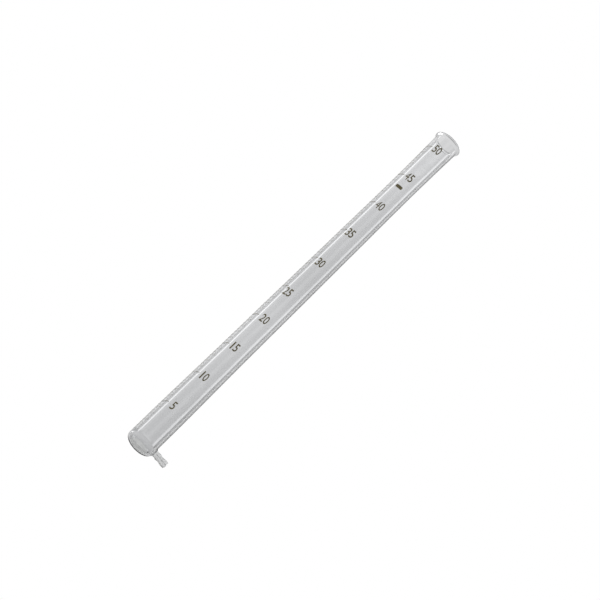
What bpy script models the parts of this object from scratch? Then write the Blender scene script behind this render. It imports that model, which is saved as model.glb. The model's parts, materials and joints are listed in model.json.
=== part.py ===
"""Water clarity tube: a tall clear glass cylinder with a flat floor, a flared
mouth, a side drain nipple beside the floor and a fired enamel scale in
centimetres.

Frame: +Z runs up the tube's axis towards the mouth, the origin is the centre of
the underside of the base, and the drain nipple points along +X. Metres.
"""
import math

import bmesh
import bpy
from mathutils import Matrix, Vector

MM = 0.001

# ---- driving dimensions -------------------------------------------------
HEIGHT = 529.1 * MM            # underside of the base to the top of the lip
FOOT_RADIUS = 17.25 * MM       # outside of the barrel at the floor
NECK_RADIUS = 15.0 * MM        # outside of the barrel where the flare starts
WALL = 2.0 * MM                # glass thickness of the barrel
RIM_RADIUS = 16.9 * MM         # outside of the flared lip
FLARE_ANGLE = math.radians(52.0)

BASE_THICKNESS = 2.1 * MM
HEEL_OUTSIDE = 4.6 * MM        # rounding of the lower outer edge
HEEL_INSIDE = 2.6 * MM         # rounding between the wall and the floor
BASE_RADIUS = 12.0 * MM        # the window disc that closes the end
FIT_GAP = 0.3 * MM             # joint line between neighbouring solids

NIPPLE_HEIGHT = 8.9 * MM       # axis of the drain above the underside
NIPPLE_TIP = 36.0 * MM         # tip of the drain from the tube's axis
NIPPLE_RADIUS = 4.0 * MM
NIPPLE_BORE = 1.8 * MM

SCALE_STEP = 50.0 * MM         # a numbered line every 5 cm
SCALE_COUNT = 10
SCALE_ZERO = 5.6 * MM          # leaves room for a target disc on the floor
ENAMEL = 0.35 * MM             # raised thickness of a fired mark
ENAMEL_GAP = 0.3 * MM
DIGIT_HEIGHT = 11.2 * MM
DIGIT_WIDTH = 4.5 * MM
DIGIT_PITCH = 5.0 * MM
DIGIT_BOLD = 0.010             # growth of the outline, in character sizes
NUMERAL_AZIMUTH = math.radians(-114.0)
LINE_WIDTH = 0.6 * MM
LINE_START = math.radians(-189.0)
LINE_END = math.radians(-139.0)

# the tube is drawn by hand: (height, outside radius) along it, in mm
DRAWN = ((0.0, 17.25), (60.0, 17.0), (150.0, 15.95), (240.0, 15.45),
         (340.0, 14.75), (440.0, 14.15), (495.0, 14.5), (523.0, 15.0))

BARREL_STEPS = 64
NIPPLE_STEPS = 32

# transfers laid on by hand sit a little off their lines: (along Z, around Z)
NUMERAL_DRIFT = {
    5: (-1.0, 0.0),
    10: (-0.4, 0.0),
    15: (0.4, 0.0),
    20: (-0.6, 5.0),
    25: (-6.6, -9.0),
    30: (-3.5, -1.5),
    35: (-1.0, -3.5),
    40: (-0.9, 2.0),
    45: (0.8, 3.0),
    50: (0.0, 2.0),
}


# ---- scene --------------------------------------------------------------
for old in list(bpy.data.objects):
    bpy.data.objects.remove(old, do_unlink=True)

tube_parts = bpy.data.collections.new("clarity_tube")
cutters = bpy.data.collections.new("clarity_tube_cutters")
bpy.context.scene.collection.children.link(tube_parts)
bpy.context.scene.collection.children.link(cutters)


def glass_material(name):
    mat = bpy.data.materials.new(name + "_glass")
    mat.use_nodes = True
    shader = mat.node_tree.nodes["Principled BSDF"]
    shader.inputs["Base Color"].default_value = (0.93, 0.96, 0.95, 1.0)
    shader.inputs["Roughness"].default_value = 0.03
    shader.inputs["Metallic"].default_value = 0.0
    shader.inputs["IOR"].default_value = 1.47
    shader.inputs["Transmission Weight"].default_value = 1.0
    return mat


def enamel_material(name):
    mat = bpy.data.materials.new(name + "_enamel")
    mat.use_nodes = True
    shader = mat.node_tree.nodes["Principled BSDF"]
    shader.inputs["Base Color"].default_value = (0.09, 0.065, 0.03, 1.0)
    shader.inputs["Roughness"].default_value = 0.35
    shader.inputs["Metallic"].default_value = 0.0
    return mat


def barrel_radius(z):
    """Outside radius of the barrel: a smooth curve through the stations."""
    h = min(max(z / MM, DRAWN[0][0]), DRAWN[-1][0])
    last = len(DRAWN) - 1
    k = max(i for i in range(last) if DRAWN[i][0] <= h)

    def slope(i):
        a, b = DRAWN[max(i - 1, 0)], DRAWN[min(i + 1, last)]
        return (b[1] - a[1]) / (b[0] - a[0])

    (h0, r0), (h1, r1) = DRAWN[k], DRAWN[k + 1]
    u, span = (h - h0) / (h1 - h0), h1 - h0
    r = ((1.0 + 2.0 * u) * (1.0 - u) ** 2 * r0 + u * (1.0 - u) ** 2 * span * slope(k)
         + u * u * (3.0 - 2.0 * u) * r1 - u * u * (1.0 - u) * span * slope(k + 1))
    return r * MM


def turned(name, profile, closed, steps, material, collection=None):
    """A profile of (radius, height) turned round Z with a Screw modifier."""
    mesh = bpy.data.meshes.new(name)
    bm = bmesh.new()
    verts = [bm.verts.new((r, 0.0, z)) for r, z in profile]
    for a, b in zip(verts, verts[1:]):
        bm.edges.new((a, b))
    if closed:
        bm.edges.new((verts[-1], verts[0]))
    bm.to_mesh(mesh)
    bm.free()
    obj = bpy.data.objects.new(name, mesh)
    (collection or tube_parts).objects.link(obj)
    screw = obj.modifiers.new("turn", "SCREW")
    screw.axis = "Z"
    screw.angle = math.tau
    screw.steps = steps
    screw.render_steps = steps
    screw.use_merge_vertices = True
    screw.merge_threshold = 0.00001
    screw.use_smooth_shade = True
    if material:
        obj.data.materials.append(material)
    return obj


def arc(cx, cz, radius, start, end, count):
    """Points on a circle in the profile plane, angles in radians."""
    out = []
    for i in range(count + 1):
        a = start + (end - start) * i / count
        out.append((cx + radius * math.cos(a), cz + radius * math.sin(a)))
    return out


# ---- barrel: tapered tube with a flared, fire-rounded mouth -------------
half_wall = WALL / 2.0
centre_rim = RIM_RADIUS - half_wall
centre_neck = NECK_RADIUS - half_wall
bend = (centre_rim - centre_neck) / (1.0 - math.cos(FLARE_ANGLE))
flare_start = HEIGHT - bend * math.sin(FLARE_ANGLE) - half_wall
bend_x = centre_neck + bend

outer = []
inner = []
FLARE_POINTS = 6
for i in range(FLARE_POINTS + 1):
    a = FLARE_ANGLE * (1.0 - i / FLARE_POINTS)
    z = flare_start + bend * math.sin(a)
    x = bend_x - bend * math.cos(a)
    # the wall's normal leans with the bend
    outer.append((x + half_wall * math.cos(a), z - half_wall * math.sin(a)))
    inner.append((x - half_wall * math.cos(a), z + half_wall * math.sin(a)))

lip = arc(centre_rim, HEIGHT - half_wall, half_wall,
          math.pi - FLARE_ANGLE, -FLARE_ANGLE, 6)[1:-1]
BARREL_RINGS = 13
runs = [flare_start - (flare_start - 12.0 * MM) * i / BARREL_RINGS
        for i in range(1, BARREL_RINGS + 1)]
outer += [(barrel_radius(z), z) for z in runs]
inner += [(barrel_radius(z) - WALL, z) for z in runs]
# the lower end is tooled inward round a heel to a ring that the base closes
foot = barrel_radius(0.0)
inner_foot = barrel_radius(BASE_THICKNESS + HEEL_INSIDE) - WALL
profile = lip + outer
profile += arc(foot - HEEL_OUTSIDE, HEEL_OUTSIDE, HEEL_OUTSIDE,
               0.0, -math.pi / 2.0, 7)
ring_inside = BASE_RADIUS + FIT_GAP
profile.append((ring_inside, 0.0))
profile.append((ring_inside, BASE_THICKNESS))
profile += arc(inner_foot - HEEL_INSIDE, BASE_THICKNESS + HEEL_INSIDE,
               HEEL_INSIDE, -math.pi / 2.0, 0.0, 5)
profile += list(reversed(inner))
barrel = turned("barrel", profile, True, BARREL_STEPS, glass_material("barrel"))

# the drain's bore goes through the wall
bpy.ops.mesh.primitive_cylinder_add(
    vertices=NIPPLE_STEPS, radius=NIPPLE_BORE, depth=14.0 * MM,
    location=(FOOT_RADIUS, 0.0, NIPPLE_HEIGHT),
    rotation=(0.0, math.pi / 2.0, 0.0))
bore_cutter = bpy.context.object
bore_cutter.name = "bore_cutter"

# the nipple's root is shaped to the barrel's outside
bpy.ops.mesh.primitive_cylinder_add(
    vertices=128, radius=barrel_radius(NIPPLE_HEIGHT) + FIT_GAP,
    depth=60.0 * MM, location=(0.0, 0.0, NIPPLE_HEIGHT))
saddle_cutter = bpy.context.object
saddle_cutter.name = "saddle_cutter"

for cutter in (bore_cutter, saddle_cutter):
    cutter.hide_render = True
    cutter.display_type = "WIRE"
    for coll in list(cutter.users_collection):
        coll.objects.unlink(cutter)
    cutters.objects.link(cutter)

cut = barrel.modifiers.new("drain_hole", "BOOLEAN")
cut.operation = "DIFFERENCE"
cut.solver = "EXACT"
cut.object = bore_cutter

# ---- base: thick flat window that closes the ring -----------------------
profile = [(0.0, BASE_THICKNESS), (BASE_RADIUS, BASE_THICKNESS),
           (BASE_RADIUS, 0.0), (0.0, 0.0)]
base = turned("base", profile, False, BARREL_STEPS, glass_material("base"))

# ---- drain nipple: ridged stub that a rubber hose is pushed over --------
NECK_STATIONS = 20


def nipple_radius(x):
    """Root fillet, a first ridge, a waist and a swollen tip."""
    root = 0.9 * MM * math.exp(-(x - FOOT_RADIUS) / (0.9 * MM))
    ridge = 0.35 * MM * math.exp(-((x - 23.5 * MM) / (1.6 * MM)) ** 2)
    waist = 0.25 * MM * math.exp(-((x - 27.0 * MM) / (1.6 * MM)) ** 2)
    swell = 0.50 * MM * math.exp(-((x - 32.4 * MM) / (2.6 * MM)) ** 2)
    return NIPPLE_RADIUS - 0.1 * MM + root + ridge - waist + swell


tip_round = 1.0 * MM
tip_body = NIPPLE_TIP - tip_round
outer_side = []
root_x = FOOT_RADIUS - 3.0 * MM
for i in range(NECK_STATIONS + 1):
    x = tip_body - (tip_body - FOOT_RADIUS) * i / NECK_STATIONS
    outer_side.append((nipple_radius(x), x))
outer_side.append((nipple_radius(FOOT_RADIUS), root_x))
tip_mid = (nipple_radius(tip_body) + NIPPLE_BORE) / 2.0
tip_half = (nipple_radius(tip_body) - NIPPLE_BORE) / 2.0
tip_points = []
for i in range(1, 6):
    a = math.pi * (1.0 - i / 6.0)
    # a squashed round end, flat across its middle
    x = tip_body + tip_round * min(1.0, 1.25 * math.sin(a))
    tip_points.append((tip_mid + tip_half * math.cos(a), x))
profile = tip_points + outer_side + [(NIPPLE_BORE, root_x), (NIPPLE_BORE, tip_body)]
nipple = turned("drain_nipple", profile, True, NIPPLE_STEPS,
                glass_material("drain_nipple"))
nipple.rotation_euler = (0.0, math.pi / 2.0, 0.0)
nipple.location = (0.0, 0.0, NIPPLE_HEIGHT)
cut = nipple.modifiers.new("saddle", "BOOLEAN")
cut.operation = "DIFFERENCE"
cut.solver = "EXACT"
cut.object = saddle_cutter


# ---- enamel scale -------------------------------------------------------
def wrap_onto_barrel(bm, azimuth, height):
    """Bends a flat design (x across, y up, z out) round the barrel."""
    for v in bm.verts:
        z = height + v.co.y
        surface = barrel_radius(z) + ENAMEL_GAP
        angle = azimuth + v.co.x / surface
        r = surface + v.co.z
        v.co = Vector((r * math.cos(angle), r * math.sin(angle), z))


def split_across(bm, width, pieces):
    """Cuts the design into upright strips so that it can follow the curve."""
    for i in range(1, pieces):
        x = -width / 2.0 + width * i / pieces
        geom = list(bm.verts) + list(bm.edges) + list(bm.faces)
        bmesh.ops.bisect_plane(bm, geom=geom, dist=1e-7,
                               plane_co=(x, 0.0, 0.0), plane_no=(1.0, 0.0, 0.0))


def finish_mark(name, bm):
    bmesh.ops.triangulate(bm, faces=list(bm.faces))
    bmesh.ops.recalc_face_normals(bm, faces=bm.faces)
    mesh = bpy.data.meshes.new(name)
    bm.to_mesh(mesh)
    bm.free()
    mesh.shade_smooth()
    mesh.set_sharp_from_angle(angle=math.radians(40.0))
    obj = bpy.data.objects.new(name, mesh)
    tube_parts.objects.link(obj)
    obj.data.materials.append(enamel_material(name))
    return obj


def digit(name, char, shift, azimuth, height):
    """One numeral: a raised character, narrowed, and bent to the glass."""
    curve = bpy.data.curves.new(name + "_outline", "FONT")
    curve.body = char
    curve.size = 1.0
    curve.extrude = 0.5
    curve.resolution_u = 3
    # the small counter of a 4 would close up on itself
    curve.offset = 0.0 if char == "4" else DIGIT_BOLD
    source = bpy.data.objects.new(name + "_outline", curve)
    bpy.context.scene.collection.objects.link(source)
    bpy.context.view_layer.update()
    graph = bpy.context.evaluated_depsgraph_get()
    flat = bpy.data.meshes.new_from_object(source.evaluated_get(graph))
    bpy.data.objects.remove(source, do_unlink=True)
    bm = bmesh.new()
    bm.from_mesh(flat)
    bpy.data.meshes.remove(flat)
    bmesh.ops.remove_doubles(bm, verts=bm.verts, dist=1e-5)
    xs = [v.co.x for v in bm.verts]
    ys = [v.co.y for v in bm.verts]
    zs = [v.co.z for v in bm.verts]
    width = DIGIT_WIDTH * (0.36 if char == "1" else 1.0)
    sx = width / (max(xs) - min(xs))
    sy = DIGIT_HEIGHT / (max(ys) - min(ys))
    sz = ENAMEL / (max(zs) - min(zs))
    for v in bm.verts:
        v.co = Vector(((v.co.x - (max(xs) + min(xs)) / 2.0) * sx,
                       (v.co.y - (max(ys) + min(ys)) / 2.0) * sy,
                       (v.co.z - min(zs)) * sz))
    split_across(bm, width, 4)
    for v in bm.verts:
        v.co.x += shift
    wrap_onto_barrel(bm, azimuth, height)
    return finish_mark(name, bm)


def plate(name, width, height, azimuth, z, pieces, corner=0.0):
    """A bar or plate of enamel from a unit cube, bent to the glass."""
    bm = bmesh.new()
    bmesh.ops.create_cube(bm, size=1.0)
    for v in bm.verts:
        v.co = Vector((v.co.x * width, v.co.y * height, (v.co.z + 0.5) * ENAMEL))
    if corner:
        upright = [e for e in bm.edges
                   if abs(e.verts[0].co.z - e.verts[1].co.z) > ENAMEL / 2.0]
        bmesh.ops.bevel(bm, geom=upright, offset=corner, segments=3,
                        profile=0.5, affect="EDGES")
    split_across(bm, width, pieces)
    wrap_onto_barrel(bm, azimuth, z)
    return finish_mark(name, bm)


for n in range(1, SCALE_COUNT + 1):
    value = 5 * n
    z = SCALE_ZERO + SCALE_STEP * n
    span = LINE_END - LINE_START
    plate("line_%02d_cm" % value, span * (barrel_radius(z) + ENAMEL_GAP),
          LINE_WIDTH, (LINE_START + LINE_END) / 2.0, z, 10)
    up, turn = NUMERAL_DRIFT.get(value, (0.0, 0.0))
    azimuth = NUMERAL_AZIMUTH + math.radians(turn)
    label = str(value)
    for i, char in enumerate(label):
        shift = (i - (len(label) - 1) / 2.0) * DIGIT_PITCH
        place = "" if len(label) == 1 else ("_tens", "_units")[i]
        digit("numeral_%02d%s" % (value, place), char, shift,
              azimuth, z + up * MM)

# a blank plate stands where a maker's panel would be fired on
plate("blank_plate", 8.4 * MM, 4.2 * MM, NUMERAL_AZIMUTH,
      SCALE_ZERO + 433.0 * MM, 5, corner=1.0 * MM)

bpy.context.view_layer.update()
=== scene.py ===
"""Looks of the water clarity tube: clear drawn glass with a fired amber scale."""

import json
import math

import bmesh
import bpy
from mathutils import Matrix, Vector, noise

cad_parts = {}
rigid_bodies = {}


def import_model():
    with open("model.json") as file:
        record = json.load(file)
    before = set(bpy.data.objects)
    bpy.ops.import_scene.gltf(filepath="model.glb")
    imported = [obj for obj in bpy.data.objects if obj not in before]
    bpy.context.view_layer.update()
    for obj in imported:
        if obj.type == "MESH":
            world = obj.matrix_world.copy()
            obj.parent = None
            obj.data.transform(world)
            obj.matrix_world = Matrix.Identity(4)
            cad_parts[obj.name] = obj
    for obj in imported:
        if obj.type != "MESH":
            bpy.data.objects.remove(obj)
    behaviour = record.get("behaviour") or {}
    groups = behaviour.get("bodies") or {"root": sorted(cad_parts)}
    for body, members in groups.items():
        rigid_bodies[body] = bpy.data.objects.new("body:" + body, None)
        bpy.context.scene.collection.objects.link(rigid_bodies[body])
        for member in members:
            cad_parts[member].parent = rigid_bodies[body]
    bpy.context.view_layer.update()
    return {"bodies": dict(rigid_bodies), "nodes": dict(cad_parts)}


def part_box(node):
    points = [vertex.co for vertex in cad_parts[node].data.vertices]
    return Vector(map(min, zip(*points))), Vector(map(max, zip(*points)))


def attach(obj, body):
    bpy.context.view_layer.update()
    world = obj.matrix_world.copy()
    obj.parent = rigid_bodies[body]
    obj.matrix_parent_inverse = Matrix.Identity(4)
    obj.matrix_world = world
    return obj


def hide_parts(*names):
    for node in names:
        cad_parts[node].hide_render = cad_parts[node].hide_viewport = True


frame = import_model()
ROOT = next(iter(frame["bodies"]))
MM = 0.001

# ---- the design's own sizes, checked against the frame ------------------
low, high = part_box("barrel")
HEIGHT = high.z
FOOT = 17.25 * MM               # outside radius at the underside
NECK = 15.0 * MM                # outside radius under the flare
WALL = 2.0 * MM
RIM = 16.9 * MM
FLARE = math.radians(52.0)
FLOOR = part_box("base")[1].z     # top of the closed end
WINDOW = 11.15 * MM             # joint between the window and the ring
CORNER = 4.6 * MM               # rounding of the heel, outside and inside
INNER_CORNER = 4.0 * MM
# radius of the hand-drawn tube: (height, outside radius) along it, in mm
DRAWN = ((0.0, 17.25), (60.0, 17.0), (150.0, 15.95), (240.0, 15.45),
         (340.0, 14.75), (440.0, 14.15), (495.0, 14.5), (523.0, 15.0))
line_low, line_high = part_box("line_05_cm")
SCALE_ZERO = (line_low.z + line_high.z) / 2.0 - 0.05
NIPPLE_Z = (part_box("drain_nipple")[0].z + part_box("drain_nipple")[1].z) / 2.0
NIPPLE_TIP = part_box("drain_nipple")[1].x
BORE = 1.8 * MM
MARK_GAP = 0.3 * MM             # how far the CAD marks stand off the glass
MARK_THICK = 0.35 * MM
AROUND = 192

assert abs(max(-low.x, FOOT) - FOOT) < 0.4 * MM and abs(high.x - FOOT) < 0.4 * MM


def outside(z):
    """Outside radius of the drawn tube at height z."""
    h = min(max(z / MM, DRAWN[0][0]), DRAWN[-1][0])
    last = len(DRAWN) - 1
    k = max(i for i in range(last) if DRAWN[i][0] <= h)

    def slope(i):
        a, b = DRAWN[max(i - 1, 0)], DRAWN[min(i + 1, last)]
        return (b[1] - a[1]) / (b[0] - a[0])

    (h0, r0), (h1, r1) = DRAWN[k], DRAWN[k + 1]
    u, span = (h - h0) / (h1 - h0), h1 - h0
    r = ((1.0 + 2.0 * u) * (1.0 - u) ** 2 * r0 + u * (1.0 - u) ** 2 * span * slope(k)
         + u * u * (3.0 - 2.0 * u) * r1 - u * u * (1.0 - u) * span * slope(k + 1))
    return r * MM


def wall_thickness(z):
    """Drawn tubing keeps its wall in step with its radius; the worked mouth
    is WALL thick."""
    u = min(1.0, max(0.0, (z - 0.490) / 0.025))
    u = u * u * (3.0 - 2.0 * u)
    return 0.129 * outside(z) * (1.0 - u) + WALL * u


# the shell of the closed end: the wall rounds over into the floor
INNER_FOOT = outside(FLOOR + INNER_CORNER) - wall_thickness(FLOOR + INNER_CORNER)


def shell_out(z):
    if z >= CORNER:
        return outside(z)
    return FOOT - CORNER + math.sqrt(CORNER ** 2 - (CORNER - max(z, 0.0)) ** 2)


def shell_in(z):
    top = FLOOR + INNER_CORNER
    if z >= top:
        return outside(z) - wall_thickness(z)
    return (INNER_FOOT - INNER_CORNER
            + math.sqrt(INNER_CORNER ** 2 - (top - max(z, FLOOR)) ** 2))


# ---- materials ----------------------------------------------------------
def nodes_of(name):
    mat = bpy.data.materials.new(name)
    mat.use_nodes = True
    tree = mat.node_tree
    return mat, tree, tree.nodes["Principled BSDF"]


def link(tree, a, b):
    tree.links.new(a, b)


def new(tree, kind, **props):
    node = tree.nodes.new(kind)
    for k, v in props.items():
        setattr(node, k, v)
    return node


def glass_material(name, tint, drawn=0.02, painted_shade_by_height=None):
    """Clear borosilicate: fine drawing lines up the tube, a faint bloom of
    handling marks in the roughness, and a tint that deepens a touch in cords.
    The last argument is painted shade: grey levels up the tube, 0 to 1, mostly darker
    at the foot."""
    mat, tree, shader = nodes_of(name)
    shader.inputs["IOR"].default_value = 1.474
    shader.inputs["Transmission Weight"].default_value = 1.0
    coord = new(tree, "ShaderNodeTexCoord")
    # cords: long streaks that run with the draw
    stretch = new(tree, "ShaderNodeMapping")
    stretch.inputs["Scale"].default_value = (420.0, 420.0, 6.0)
    link(tree, coord.outputs["Object"], stretch.inputs["Vector"])
    cords = new(tree, "ShaderNodeTexNoise")
    cords.inputs["Scale"].default_value = 1.0
    cords.inputs["Detail"].default_value = 3.0
    link(tree, stretch.outputs["Vector"], cords.inputs["Vector"])
    ramp = new(tree, "ShaderNodeValToRGB")
    ramp.color_ramp.elements[0].position = 0.30
    ramp.color_ramp.elements[0].color = (*[c * 0.994 for c in tint], 1.0)
    ramp.color_ramp.elements[1].position = 0.70
    ramp.color_ramp.elements[1].color = (*tint, 1.0)
    link(tree, cords.outputs["Fac"], ramp.inputs["Fac"])
    colour = ramp.outputs["Color"]
    if painted_shade_by_height:
        axis = new(tree, "ShaderNodeSeparateXYZ")
        link(tree, coord.outputs["Object"], axis.inputs["Vector"])
        share = new(tree, "ShaderNodeMath", operation="DIVIDE")
        link(tree, axis.outputs["Z"], share.inputs[0])
        share.inputs[1].default_value = HEIGHT
        # painted shade: a grey ramp by height that darkens the glass, mostly towards
        # the foot
        depth = new(tree, "ShaderNodeValToRGB")
        depth.color_ramp.interpolation = "CARDINAL"
        stops = depth.color_ramp.elements
        while len(stops) > 1:
            stops.remove(stops[-1])
        # each stop's level is the painted shade at that height
        for k, (at, clear) in enumerate(painted_shade_by_height):
            stop = stops[0] if k == 0 else stops.new(at)
            stop.position = at
            stop.color = (clear, clear, clear, 1.0)
        link(tree, share.outputs["Value"], depth.inputs["Fac"])
        both = new(tree, "ShaderNodeMix", data_type="RGBA", blend_type="MULTIPLY")
        both.inputs["Factor"].default_value = 1.0
        link(tree, colour, both.inputs["A"])
        link(tree, depth.outputs["Color"], both.inputs["B"])
        colour = both.outputs["Result"]
    link(tree, colour, shader.inputs["Base Color"])
    # handling bloom
    bloom = new(tree, "ShaderNodeTexNoise")
    bloom.inputs["Scale"].default_value = 55.0
    bloom.inputs["Detail"].default_value = 5.0
    link(tree, coord.outputs["Object"], bloom.inputs["Vector"])
    rough = new(tree, "ShaderNodeMapRange")
    rough.inputs["From Min"].default_value = 0.45
    rough.inputs["From Max"].default_value = 0.85
    rough.inputs["To Min"].default_value = 0.0
    rough.inputs["To Max"].default_value = 0.015
    link(tree, bloom.outputs["Fac"], rough.inputs["Value"])
    link(tree, rough.outputs["Result"], shader.inputs["Roughness"])
    bump = new(tree, "ShaderNodeBump")
    bump.inputs["Strength"].default_value = drawn
    bump.inputs["Distance"].default_value = 0.0001
    link(tree, cords.outputs["Fac"], bump.inputs["Height"])
    link(tree, bump.outputs["Normal"], shader.inputs["Normal"])
    return mat


def seal_material():
    """Where two glass pieces are fused there is no surface to see."""
    mat = bpy.data.materials.new("fused_joint")
    mat.use_nodes = True
    tree = mat.node_tree
    tree.nodes.remove(tree.nodes["Principled BSDF"])
    clear = new(tree, "ShaderNodeBsdfTransparent")
    clear.inputs["Color"].default_value = (1.0, 1.0, 1.0, 1.0)
    link(tree, clear.outputs["BSDF"], tree.nodes["Material Output"].inputs["Surface"])
    return mat


def enamel_material(name, thin=0.0):
    """Fired amber-brown transfer enamel: uneven coverage, a few pinholes."""
    mat, tree, shader = nodes_of(name)
    shader.inputs["Specular IOR Level"].default_value = 0.5
    coord = new(tree, "ShaderNodeTexCoord")
    cover = new(tree, "ShaderNodeTexNoise")
    cover.inputs["Scale"].default_value = 900.0
    cover.inputs["Detail"].default_value = 4.0
    link(tree, coord.outputs["Object"], cover.inputs["Vector"])
    ramp = new(tree, "ShaderNodeValToRGB")
    e = ramp.color_ramp.elements
    e[0].position = 0.30
    e[0].color = (0.050, 0.040, 0.012, 1.0)
    e[1].position = 0.72
    e[1].color = (0.125, 0.100, 0.030, 1.0)
    link(tree, cover.outputs["Fac"], ramp.inputs["Fac"])
    link(tree, ramp.outputs["Color"], shader.inputs["Base Color"])
    pits = new(tree, "ShaderNodeTexNoise")
    pits.inputs["Scale"].default_value = 2600.0
    pits.inputs["Detail"].default_value = 2.0
    link(tree, coord.outputs["Object"], pits.inputs["Vector"])
    rough = new(tree, "ShaderNodeMapRange")
    rough.inputs["To Min"].default_value = 0.28
    rough.inputs["To Max"].default_value = 0.52
    link(tree, pits.outputs["Fac"], rough.inputs["Value"])
    link(tree, rough.outputs["Result"], shader.inputs["Roughness"])
    bump = new(tree, "ShaderNodeBump")
    bump.inputs["Strength"].default_value = 0.25
    bump.inputs["Distance"].default_value = 0.00004
    link(tree, pits.outputs["Fac"], bump.inputs["Height"])
    link(tree, bump.outputs["Normal"], shader.inputs["Normal"])
    return mat


# the tube glass is painted greyer towards the foot: painted shade by height
tube_glass = glass_material(
    "drawn_glass", (0.9880, 0.9922, 1.0), drawn=0.003,
    painted_shade_by_height=((0.0, 0.918), (0.068, 0.920), (0.166, 0.931), (0.263, 0.955),
           (0.356, 0.968), (0.443, 0.966), (0.531, 0.936), (0.636, 0.951),
           (0.732, 0.957), (0.811, 0.980), (0.923, 1.0)))
window_glass = glass_material("window_glass", (0.965, 0.972, 0.960), drawn=0.0)
nipple_glass = glass_material("worked_glass", (0.972, 0.977, 0.979), drawn=0.001)
seal = seal_material()
enamel = enamel_material("fired_enamel")


# ---- mesh helpers -------------------------------------------------------
def to_object(bm, name, mats, sharp=35.0):
    mesh = bpy.data.meshes.new(name)
    bm.to_mesh(mesh)
    bm.free()
    mesh.shade_smooth()
    mesh.set_sharp_from_angle(angle=math.radians(sharp))
    obj = bpy.data.objects.new(name, mesh)
    bpy.context.scene.collection.objects.link(obj)
    for m in mats:
        mesh.materials.append(m)
    return obj


def lathe(profile, steps, wander=None):
    """Turns a closed loop of (radius, z, material) about Z. The material is
    that of the strip from this point to the next one."""
    bm = bmesh.new()
    rings = []
    for r, z, m in profile:
        if r < 1e-9:
            rings.append([bm.verts.new((0.0, 0.0, z))])
            continue
        ring = []
        for i in range(steps):
            a = math.tau * i / steps
            rr = r if wander is None else wander(r, a, z)
            ring.append(bm.verts.new((rr * math.cos(a), rr * math.sin(a), z)))
        rings.append(ring)
    n = len(rings)
    closed = not (len(rings[0]) == 1 and len(rings[-1]) == 1)
    for k in range(n if closed else n - 1):
        a, b = rings[k], rings[(k + 1) % n]
        m = profile[k][2]
        for i in range(steps):
            j = (i + 1) % steps
            if len(a) == 1:
                f = bm.faces.new((a[0], b[j], b[i]))
            elif len(b) == 1:
                f = bm.faces.new((a[i], a[j], b[0]))
            else:
                f = bm.faces.new((a[i], a[j], b[j], b[i]))
            f.material_index = m
    bmesh.ops.recalc_face_normals(bm, faces=bm.faces)
    return bm


def arc(cx, cz, radius, start, end, count):
    return [(cx + radius * math.cos(start + (end - start) * i / count),
             cz + radius * math.sin(start + (end - start) * i / count))
            for i in range(count + 1)]


# ---- barrel -------------------------------------------------------------
GLASS, JOINT = 0, 1
half = WALL / 2.0
centre_rim = RIM - half
centre_neck = NECK - half
bend = (centre_rim - centre_neck) / (1.0 - math.cos(FLARE))
flare_z = HEIGHT - bend * math.sin(FLARE) - half
bend_x = centre_neck + bend
FLARE_RINGS = 14

outer, inner = [], []
for i in range(FLARE_RINGS + 1):
    a = FLARE * (1.0 - i / FLARE_RINGS)
    x = bend_x - bend * math.cos(a)
    z = flare_z + bend * math.sin(a)
    outer.append((x + half * math.cos(a), z - half * math.sin(a)))
    inner.append((x - half * math.cos(a), z + half * math.sin(a)))
lip = arc(centre_rim, HEIGHT - half, half, math.pi - FLARE, -FLARE, 14)[1:-1]

STATIONS = 96
tube_out = [(outside(z), z) for z in
            [flare_z - (flare_z - CORNER) * i / STATIONS for i in range(1, STATIONS)]]
corner = arc(FOOT - CORNER, CORNER, CORNER, 0.0, -math.pi / 2.0, 18)
well = arc(INNER_FOOT - INNER_CORNER, FLOOR + INNER_CORNER, INNER_CORNER,
           -math.pi / 2.0, 0.0, 14)
well_top = FLOOR + INNER_CORNER
tube_in = [(outside(z) - wall_thickness(z), z) for z in
           [well_top + (flare_z - well_top) * i / STATIONS
            for i in range(1, STATIONS)]]

loop = [(r, z, GLASS) for r, z in lip + outer + tube_out + corner]
loop.append((WINDOW, 0.0, JOINT))
loop.append((WINDOW, FLOOR, GLASS))
loop += [(r, z, GLASS) for r, z in well + tube_in + list(reversed(inner))]


def drawn_wander(r, a, z):
    """The draw leaves the wall a few hundredths of a millimetre uneven. It
    fades out at the worked ends."""
    ends = min(1.0, max(0.0, (z - 22.0 * MM) / (40.0 * MM)),
               max(0.0, (flare_z - z) / (20.0 * MM)))
    if ends <= 0.0:
        return r
    side = 0.0 if r > outside(z) - half else 7.0
    p = Vector((1.3 * math.cos(a) + side, 1.3 * math.sin(a), z * 26.0))
    return r + ends * 0.012 * MM * noise.noise(p)


barrel_bm = lathe(loop, AROUND, drawn_wander)
barrel = to_object(barrel_bm, "barrel_glass", [tube_glass, seal])

# the nipple is sealed into a cone-shaped seat through the wall
ROOT_STEPS = 96
SEAT_X = 15.2 * MM
SEAT_RADIUS = 3.4 * MM
SEAT_SLOPE = 1.4


def seat(x):
    return SEAT_RADIUS + (x - SEAT_X) * SEAT_SLOPE


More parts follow.
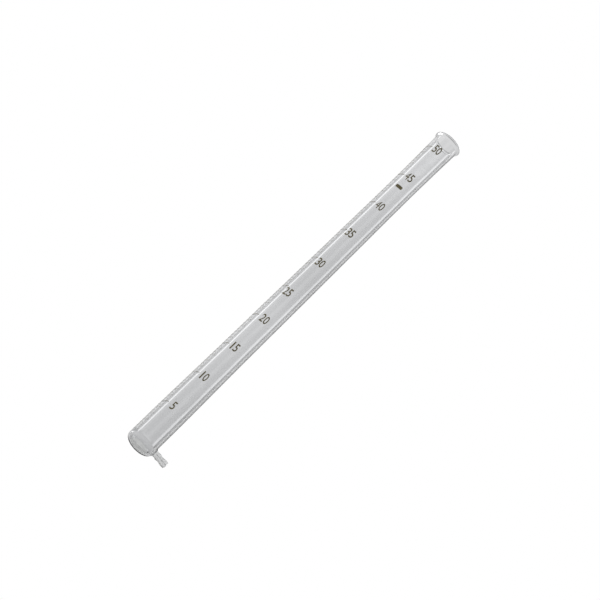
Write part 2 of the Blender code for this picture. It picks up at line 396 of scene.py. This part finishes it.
bm = bmesh.new()
near, far = [], []
SEAT_NEAR, SEAT_FAR = 13.8 * MM, 21.0 * MM
for i in range(ROOT_STEPS):
    a = math.tau * i / ROOT_STEPS
    for ring, x in ((near, SEAT_NEAR), (far, SEAT_FAR)):
        ring.append(bm.verts.new((x, seat(x) * math.cos(a),
                                  NIPPLE_Z + seat(x) * math.sin(a))))
for i in range(ROOT_STEPS):
    j = (i + 1) % ROOT_STEPS
    f = bm.faces.new((near[i], near[j], far[j], far[i]))
    f.material_index = JOINT
bm.faces.new(near).material_index = JOINT
bm.faces.new(far).material_index = JOINT
bmesh.ops.recalc_face_normals(bm, faces=bm.faces)
cutter = to_object(bm, "nipple_cutter", [tube_glass, seal])
cut = barrel.modifiers.new("hole", "BOOLEAN")
cut.operation = "DIFFERENCE"
cut.solver = "EXACT"
cut.object = cutter
bpy.context.view_layer.update()
graph = bpy.context.evaluated_depsgraph_get()
done = bpy.data.meshes.new_from_object(barrel.evaluated_get(graph))
barrel.modifiers.clear()
barrel.data = done
bpy.data.objects.remove(cutter, do_unlink=True)
barrel.data.shade_smooth()
barrel.data.set_sharp_from_angle(angle=math.radians(35.0))
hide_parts("barrel")
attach(barrel, ROOT)

# ---- base window --------------------------------------------------------
dish = 0.25 * MM   # fire polishing leaves the inner face very slightly dished
rings_in = [(WINDOW * k / 10.0, FLOOR - dish * (1.0 - (k / 10.0) ** 2) ** 2, GLASS)
            for k in range(0, 10)]
loop = rings_in + [(WINDOW, FLOOR, JOINT), (WINDOW, 0.0, GLASS),
                   (WINDOW * 0.66, 0.0, GLASS), (WINDOW * 0.33, 0.0, GLASS),
                   (0.0, 0.0, GLASS)]
base = to_object(lathe(loop, AROUND), "base_window", [window_glass, seal])
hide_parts("base")
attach(base, ROOT)


# ---- drain nipple -------------------------------------------------------
def side_radius(x):
    """Outside radius of the stub: a first ridge, a waist and a swollen tip."""
    ridge = 0.55 * math.exp(-((x - 23.4 * MM) / (1.1 * MM)) ** 2)
    waist = 0.22 * math.exp(-((x - 27.0 * MM) / (1.6 * MM)) ** 2)
    swell = 0.62 * math.exp(-((x - 32.4 * MM) / (2.7 * MM)) ** 2)
    return (3.85 + ridge - waist + swell) * MM


def on_wall(rho, a, inside):
    """Point of the tube's own surface at distance rho from the nipple's axis."""
    y, z = rho * math.cos(a), NIPPLE_Z + rho * math.sin(a)
    r = shell_in(z) if inside else shell_out(z)
    return Vector((math.sqrt(r * r - y * y), y, z))


def seat_edge(a, inside):
    """Distance from the nipple's axis at which the seat meets the surface."""
    rho = 4.0 * MM
    for _ in range(60):
        rho = 0.6 * rho + 0.4 * seat(on_wall(rho, a, inside).x)
    return rho


sections = []      # (function of the angle, material of the strip after it)
TIP_R = 1.05 * MM


def straight(rho, x, material=GLASS):
    sections.append((lambda a, rho=rho, x=x:
                     Vector((x, rho * math.cos(a), NIPPLE_Z + rho * math.sin(a))),
                     material))


def wall(rho, inside, lift=0.0, fade=1.0, material=GLASS):
    """A ring that follows the tube's surface; rho is a length or a function
    of the angle."""
    def point(a):
        p = on_wall(rho(a) if callable(rho) else rho, a, inside)
        ref = outside(NIPPLE_Z) - (wall_thickness(NIPPLE_Z) if inside else 0.0)
        return Vector((ref + lift + (p.x - ref) * fade, p.y, p.z))
    sections.append((point, material))


tip_rho = side_radius(NIPPLE_TIP - TIP_R)
mid = (tip_rho + BORE) / 2.0
thick = (tip_rho - BORE) / 2.0
# the fire-rounded end, from the bore to the outside
for i in range(0, 13):
    a = math.pi * (1.0 - i / 12.0)
    straight(mid + thick * math.cos(a), NIPPLE_TIP - TIP_R + TIP_R * math.sin(a) ** 0.8
             if 0 < i < 12 else NIPPLE_TIP - TIP_R)
root_lift = 2.6 * MM
straight_end = outside(NIPPLE_Z) + 4.4 * MM
for i in range(1, 41):
    x = NIPPLE_TIP - TIP_R - (NIPPLE_TIP - TIP_R - straight_end) * i / 40
    straight(side_radius(x), x)
for i in range(1, 7):
    u = i / 6
    lift = 4.4 * MM - (4.4 * MM - root_lift) * u
    wall(side_radius(outside(NIPPLE_Z) + lift), False, lift, u * u * (3 - 2 * u))
stub = side_radius(outside(NIPPLE_Z) + root_lift)
outer_edge = [seat_edge(math.tau * i / ROOT_STEPS, False) for i in range(ROOT_STEPS)]
inner_edge = [seat_edge(math.tau * i / ROOT_STEPS, True) for i in range(ROOT_STEPS)]


def at_edge(edges, inner, share):
    """Radius that goes from the edge (0) to the inner radius (1)."""
    def rho(a):
        edge = edges[round(a / math.tau * ROOT_STEPS) % ROOT_STEPS]
        return edge - (edge - inner) * share
    return rho


for i in range(1, 15):
    a = math.pi / 2.0 * i / 14
    wall(at_edge(outer_edge, stub, math.cos(a)), False,
         root_lift * (1.0 - math.sin(a)), 1.0, JOINT if i == 14 else GLASS)
LIP = 0.5 * MM
wall(at_edge(inner_edge, BORE + LIP, 0.0), True)
for i in range(1, 5):
    wall(at_edge(inner_edge, BORE + LIP, i / 4), True)
for i in range(1, 5):
    a = math.pi / 2.0 * i / 5
    wall(BORE + LIP * (1.0 - math.sin(a)), True, LIP * (1.0 - math.cos(a)))
for x in (outside(NIPPLE_Z) - 1.2 * MM, outside(NIPPLE_Z) + 2.0 * MM,
          outside(NIPPLE_Z) + 8.0 * MM, outside(NIPPLE_Z) + 13.0 * MM):
    straight(BORE, x)

bm = bmesh.new()
rings = []
for point, material in sections:
    rings.append([bm.verts.new(point(math.tau * i / ROOT_STEPS))
                  for i in range(ROOT_STEPS)])
for k, (point, material) in enumerate(sections):
    a, b = rings[k], rings[(k + 1) % len(rings)]
    for i in range(ROOT_STEPS):
        j = (i + 1) % ROOT_STEPS
        bm.faces.new((a[i], a[j], b[j], b[i])).material_index = material
bmesh.ops.recalc_face_normals(bm, faces=bm.faces)
nipple = to_object(bm, "drain_nipple_glass", [nipple_glass, seal], sharp=50.0)
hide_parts("drain_nipple")
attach(nipple, ROOT)


# ---- enamel scale -------------------------------------------------------
PRINT = 0.09 * MM        # thickness of a fired print
LIFT = 0.012 * MM        # a hair off the glass, so that the two don't fight


def printed(node_name, name):
    """A CAD mark brought down from its stand-off to lie on the glass."""
    source = frame["nodes"][node_name].data
    mesh = source.copy()
    mesh.name = name
    for v in mesh.vertices:
        x, y, z = v.co
        r = math.hypot(x, y)
        depth = (r - outside(z) - MARK_GAP) / MARK_THICK
        depth = min(1.0, max(0.0, depth))
        s = (outside(z) + LIFT + depth * PRINT) / r
        v.co = Vector((x * s, y * s, z))
    mesh.materials.clear()
    mesh.materials.append(enamel)
    mesh.shade_smooth()
    mesh.set_sharp_from_angle(angle=math.radians(40.0))
    obj = bpy.data.objects.new(name, mesh)
    bpy.context.scene.collection.objects.link(obj)
    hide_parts(node_name)
    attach(obj, ROOT)
    return obj


for node_name in sorted(frame["nodes"]):
    if node_name.startswith(("numeral_", "line_")) or node_name == "blank_plate":
        printed(node_name, node_name + "_print")

# the fine lines between the numbered ones: every half centimetre a short
# line, every centimetre a longer one
LINE_START = math.radians(-189.0)


def fine_lines(name, heights, span, width):
    bm = bmesh.new()
    steps = 12
    for z in heights:
        rows = []
        for i in range(steps + 1):
            a = LINE_START + span * i / steps
            row = []
            for dz, up in ((-width / 2, 0.0), (-width / 2, PRINT),
                           (width / 2, PRINT), (width / 2, 0.0)):
                r = outside(z + dz) + LIFT + up
                row.append(bm.verts.new((r * math.cos(a), r * math.sin(a), z + dz)))
            rows.append(row)
        for a, b in zip(rows, rows[1:]):
            for k in range(4):
                m = (k + 1) % 4
                bm.faces.new((a[k], b[k], b[m], a[m]))
        bm.faces.new(rows[0])
        bm.faces.new(rows[-1])
    bmesh.ops.recalc_face_normals(bm, faces=bm.faces)
    obj = to_object(bm, name, [enamel], sharp=40.0)
    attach(obj, ROOT)
    return obj


whole = [SCALE_ZERO + 0.01 * n for n in range(1, 51) if n % 5]
halves = [SCALE_ZERO + 0.01 * n + 0.005 for n in range(0, 50)]
fine_lines("centimetre_lines", whole, math.radians(38.0), 0.28 * MM)
fine_lines("half_centimetre_lines", halves, math.radians(24.0), 0.22 * MM)

# ---- floor --------------------------------------------------------------
# a pale round table top that fades into the white room round it
FLOOR_RADIUS = 0.72
bm = bmesh.new()
bmesh.ops.create_circle(bm, cap_ends=True, segments=96, radius=FLOOR_RADIUS)
floor = to_object(bm, "studio_floor", [])
floor.location.z = -0.0004
mat, tree, shader = nodes_of("pale_floor")
shader.inputs["Base Color"].default_value = (0.80, 0.80, 0.80, 1.0)
shader.inputs["Roughness"].default_value = 0.9
shader.inputs["Specular IOR Level"].default_value = 0.1
clear = new(tree, "ShaderNodeBsdfTransparent")
coord = new(tree, "ShaderNodeTexCoord")
reach = new(tree, "ShaderNodeVectorMath", operation="LENGTH")
link(tree, coord.outputs["Object"], reach.inputs[0])
fade = new(tree, "ShaderNodeMapRange", interpolation_type="SMOOTHSTEP")
fade.inputs["From Min"].default_value = 0.28
fade.inputs["From Max"].default_value = FLOOR_RADIUS
link(tree, reach.outputs["Value"], fade.inputs["Value"])
side = new(tree, "ShaderNodeNewGeometry")
gone = new(tree, "ShaderNodeMath", operation="MAXIMUM")
link(tree, side.outputs["Backfacing"], gone.inputs[0])
link(tree, fade.outputs["Result"], gone.inputs[1])
mix = new(tree, "ShaderNodeMixShader")
link(tree, gone.outputs["Value"], mix.inputs["Fac"])
link(tree, shader.outputs["BSDF"], mix.inputs[1])
link(tree, clear.outputs["BSDF"], mix.inputs[2])
link(tree, mix.outputs["Shader"], tree.nodes["Material Output"].inputs["Surface"])
floor.data.materials.append(mat)

# ---- studio surround ----------------------------------------------------
VIEW_AZIMUTH = math.radians(-99.4)
# brightness of the room round the tube, by the angle from straight behind it,
# positive to the camera's right: pale cards with dark flags between them and a
# narrow strip light on either side of the backdrop
SURROUND = [
    (-180, 0.52), (-168, 0.18), (-156, 0.06), (-146, 0.07), (-138, 0.22),
    (-130, 0.27), (-122, 0.76), (-114, 1.24), (-107, 1.35), (-101, 1.35),
    (-96, 1.35), (-90, 1.35), (-84, 1.35), (-78, 0.80), (-70, 1.08),
    (-60, 0.82), (-50, 0.27), (-42, 1.35), (-36, 0.29), (-31, 0.75),
    (-27, 0.71), (-23, 0.84), (-20, 0.41), (-17, 0.58), (-14, 0.28),
    (-12, 0.67), (-10, 0.36), (-8, 1.22), (-6, 0.59), (-4, 0.65),
    (-2, 0.70), (0, 0.69), (2, 0.66), (4, 0.53), (6, 0.83), (8, 0.80),
    (10, 0.32), (12, 0.38), (14, 0.33), (17, 0.06), (20, 0.06), (23, 0.19),
    (27, 0.29), (31, 1.01), (36, 0.06), (42, 0.45), (50, 0.73), (60, 1.35),
    (70, 1.35), (78, 0.66), (84, 0.26), (90, 0.57), (96, 1.35), (101, 0.28),
    (107, 1.00), (114, 0.30), (122, 0.64), (130, 0.68), (138, 0.35),
    (146, 0.25), (156, 0.26), (168, 0.62), (180, 0.52),
]
PEAK = 2.5
SPOT = 10.0
world = bpy.data.worlds.new("studio")
bpy.context.scene.world = world
world.use_nodes = True
tree = world.node_tree
tree.nodes.clear()
coord = new(tree, "ShaderNodeTexCoord")
split = new(tree, "ShaderNodeSeparateXYZ")
link(tree, coord.outputs["Generated"], split.inputs["Vector"])
turn = new(tree, "ShaderNodeMath", operation="ARCTAN2")
link(tree, split.outputs["Y"], turn.inputs[0])
link(tree, split.outputs["X"], turn.inputs[1])
# angle from straight behind = (camera azimuth + 180) - world azimuth, wrapped
behind = VIEW_AZIMUTH + math.pi
offset = new(tree, "ShaderNodeMath", operation="SUBTRACT")
offset.inputs[0].default_value = behind + math.pi
link(tree, turn.outputs["Value"], offset.inputs[1])
share = new(tree, "ShaderNodeMath", operation="DIVIDE")
link(tree, offset.outputs["Value"], share.inputs[0])
share.inputs[1].default_value = math.tau
wrap = new(tree, "ShaderNodeMath", operation="FRACT")
link(tree, share.outputs["Value"], wrap.inputs[0])


def level_at(angle):
    for (a0, v0), (a1, v1) in zip(SURROUND, SURROUND[1:]):
        if a0 <= angle <= a1:
            return v0 + (v1 - v0) * (angle - a0) / (a1 - a0)
    return SURROUND[-1][1]


def sector(start, span):
    """A ramp over one sector of the turn; the angle's share of it goes in."""
    part = new(tree, "ShaderNodeMapRange")
    part.inputs["From Min"].default_value = (start + 180.0) / 360.0
    part.inputs["From Max"].default_value = (start + span + 180.0) / 360.0
    link(tree, wrap.outputs["Value"], part.inputs["Value"])
    ramp = new(tree, "ShaderNodeValToRGB")
    stops = ramp.color_ramp.elements
    while len(stops) > 1:
        stops.remove(stops[-1])
    marks = [start] + [a for a, v in SURROUND if start < a < start + span]
    for k, angle in enumerate(marks + [start + span]):
        stop = stops[0] if k == 0 else stops.new((angle - start) / span)
        stop.position = (angle - start) / span
        level = level_at(angle) / PEAK
        stop.color = (level, level, level, 1.0)
    link(tree, part.outputs["Result"], ramp.inputs["Fac"])
    return ramp.outputs["Color"]


ring = sector(-180.0, 60.0)
for start in (-120.0, -60.0, 0.0, 60.0, 120.0):
    beyond = new(tree, "ShaderNodeMath", operation="GREATER_THAN")
    link(tree, wrap.outputs["Value"], beyond.inputs[0])
    beyond.inputs[1].default_value = (start + 180.0) / 360.0
    pick = new(tree, "ShaderNodeMix", data_type="RGBA")
    link(tree, beyond.outputs["Value"], pick.inputs["Factor"])
    link(tree, ring, pick.inputs["A"])
    link(tree, sector(start, 60.0), pick.inputs["B"])
    ring = pick.outputs["Result"]

# away from that level the room is wide cards that lie across the view, given
# by the angle from the horizon behind the tube, over the top, to the front and
# on to the floor; at the camera's left and right stand tall soft boxes, given
# by the height of the direction
BANDS_LEFT = [
    (-90, 0.51), (-30, 0.68), (-8, 0.68), (0, 0.68), (8, 0.68), (14, 0.68),
    (20, 0.84), (28, 0.47), (36, 0.34), (44, 1.18), (54, 0.36), (64, 0.34),
    (76, 0.34), (90, 0.97), (104, 1.49), (118, 1.67), (132, 1.74),
    (146, 1.39), (160, 0.68), (175, 0.68), (200, 0.68), (240, 0.67),
]
BANDS_RIGHT = [
    (-90, 0.34), (-30, 0.68), (-8, 0.70), (0, 1.07), (8, 0.78), (14, 0.68),
    (20, 0.68), (28, 0.54), (36, 0.34), (44, 0.76), (54, 0.59), (64, 0.34),
    (76, 0.37), (90, 1.80), (104, 1.03), (118, 0.34), (132, 0.34),
    (146, 1.15), (160, 0.68), (175, 0.68), (200, 0.68), (240, 0.61),
]
LEFT_BOX = [
    (-1, 0.68), (-0.5, 1.07), (-0.25, 1.07), (-0.12, 1.07), (0, 0.68),
    (0.12, 1.07), (0.25, 1.07), (0.4, 0.51), (0.52, 1.13), (0.7, 3.04),
    (1, 0.39),
]
RIGHT_BOX = [
    (-1, 0.68), (-0.5, 0.68), (-0.25, 0.68), (-0.12, 0.68), (0, 1.07),
    (0.12, 0.68), (0.25, 1.07), (0.4, 0.69), (0.52, 0.55), (0.7, 1.96),
    (1, 0.39),
]


def node_math(operation, *values):
    node = new(tree, "ShaderNodeMath", operation=operation)
    for k, value in enumerate(values):
        if isinstance(value, float):
            node.inputs[k].default_value = value
        else:
            link(tree, value, node.inputs[k])
    return node.outputs["Value"]


def dot(vector):
    node = new(tree, "ShaderNodeVectorMath", operation="DOT_PRODUCT")
    link(tree, coord.outputs["Generated"], node.inputs[0])
    node.inputs[1].default_value = vector
    return node.outputs["Value"]


def soft_step(value, start, end):
    node = new(tree, "ShaderNodeMapRange", interpolation_type="SMOOTHSTEP")
    node.inputs["From Min"].default_value = start
    node.inputs["From Max"].default_value = end
    link(tree, value, node.inputs["Value"])
    return node.outputs["Result"]


def ramp_over(value, levels):
    """Brightness read from a list of (place, level), straight in between."""
    low_end, high_end = levels[0][0], levels[-1][0]
    part = new(tree, "ShaderNodeMapRange")
    part.inputs["From Min"].default_value = low_end
    part.inputs["From Max"].default_value = high_end
    link(tree, value, part.inputs["Value"])
    ramp = new(tree, "ShaderNodeValToRGB")
    stops = ramp.color_ramp.elements
    while len(stops) > 1:
        stops.remove(stops[-1])
    top = max(level for place, level in levels)
    for k, (place, level) in enumerate(levels):
        at = (place - low_end) / (high_end - low_end)
        stop = stops[0] if k == 0 else stops.new(at)
        stop.position = at
        stop.color = (level / top, level / top, level / top, 1.0)
    link(tree, part.outputs["Result"], ramp.inputs["Fac"])
    return node_math("MULTIPLY", ramp.outputs["Color"], float(top))


ahead = dot((math.cos(behind), math.sin(behind), 0.0))
across = dot((math.sin(behind), -math.cos(behind), 0.0))
rise = split.outputs["Z"]
lean = node_math("ARCTAN2", node_math("MULTIPLY", ahead, -1.0), rise)
lean = node_math("MULTIPLY_ADD", lean, math.degrees(1.0), 90.0)
at_left = soft_step(across, -0.35, -0.6)
at_right = soft_step(across, 0.35, 0.6)
between = node_math("SUBTRACT", node_math("SUBTRACT", 1.0, at_left), at_right)
left_half = soft_step(across, 0.12, -0.12)
right_half = soft_step(across, -0.12, 0.12)
high_low = node_math("MULTIPLY", ramp_over(lean, BANDS_LEFT), left_half)
high_low = node_math("MULTIPLY_ADD", ramp_over(lean, BANDS_RIGHT), right_half, high_low)
high_low = node_math("MULTIPLY", high_low, between)
high_low = node_math("MULTIPLY_ADD", ramp_over(rise, LEFT_BOX), at_left, high_low)
high_low = node_math("MULTIPLY_ADD", ramp_over(rise, RIGHT_BOX), at_right, high_low)
# a small soft box low at the camera's left, which only reflections show: it
# makes the bright spot on the rounded heel
path = new(tree, "ShaderNodeLightPath")
low_left = dot((0.34 * math.cos(behind) - 0.90 * math.sin(behind),
                0.34 * math.sin(behind) + 0.90 * math.cos(behind), -0.27))
low_left = soft_step(low_left, math.cos(math.radians(30)), math.cos(math.radians(16)))
low_left = node_math("MULTIPLY", low_left, path.outputs["Is Reflection Ray"])
high_low = node_math("MULTIPLY_ADD", low_left, SPOT, high_low)

level_band = new(tree, "ShaderNodeMath", operation="COMPARE")
link(tree, rise, level_band.inputs[0])
level_band.inputs[1].default_value = math.sin(math.radians(27.2))
level_band.inputs[2].default_value = 0.05
room = new(tree, "ShaderNodeBackground")
room.inputs["Strength"].default_value = PEAK
link(tree, ring, room.inputs["Color"])
above = new(tree, "ShaderNodeBackground")
link(tree, high_low, above.inputs["Strength"])
dome = new(tree, "ShaderNodeMixShader")
link(tree, level_band.outputs["Value"], dome.inputs["Fac"])
link(tree, above.outputs["Background"], dome.inputs[1])
link(tree, room.outputs["Background"], dome.inputs[2])
white = new(tree, "ShaderNodeBackground")
white.inputs["Color"].default_value = (1.0, 1.0, 1.0, 1.0)
white.inputs["Strength"].default_value = 1.0
seen = new(tree, "ShaderNodeMixShader")
link(tree, path.outputs["Is Camera Ray"], seen.inputs["Fac"])
link(tree, dome.outputs["Shader"], seen.inputs[1])
link(tree, white.outputs["Background"], seen.inputs[2])
out = new(tree, "ShaderNodeOutputWorld")
link(tree, seen.outputs["Shader"], out.inputs["Surface"])

# ---- camera -------------------------------------------------------------
DISTANCE = 4.964
ELEVATION = math.radians(-27.2)
ROLL = math.radians(45.64)
FOCAL_PIXELS = 4564.0
AIM = Vector((0.0, 0.0, 0.2596))
SIDE = 0.00935

toward = Vector((math.cos(ELEVATION) * math.cos(VIEW_AZIMUTH),
                 math.cos(ELEVATION) * math.sin(VIEW_AZIMUTH),
                 math.sin(ELEVATION)))
right = (-toward).cross(Vector((0.0, 0.0, 1.0))).normalized()
up = right.cross(-toward).normalized()
place = AIM + right * SIDE + toward * DISTANCE
r2 = right * math.cos(ROLL) + up * math.sin(ROLL)
u2 = -right * math.sin(ROLL) + up * math.cos(ROLL)
data = bpy.data.cameras.new("camera")
data.sensor_width = 36.0
data.lens = 36.0 * FOCAL_PIXELS / 600.0
data.clip_start = 0.05
data.clip_end = 100.0
camera = bpy.data.objects.new("camera", data)
bpy.context.scene.collection.objects.link(camera)
camera.matrix_world = Matrix((
    (r2.x, u2.x, toward.x, place.x),
    (r2.y, u2.y, toward.y, place.y),
    (r2.z, u2.z, toward.z, place.z),
    (0.0, 0.0, 0.0, 1.0)))
bpy.context.scene.camera = camera
bpy.context.scene.view_settings.view_transform = "Standard"
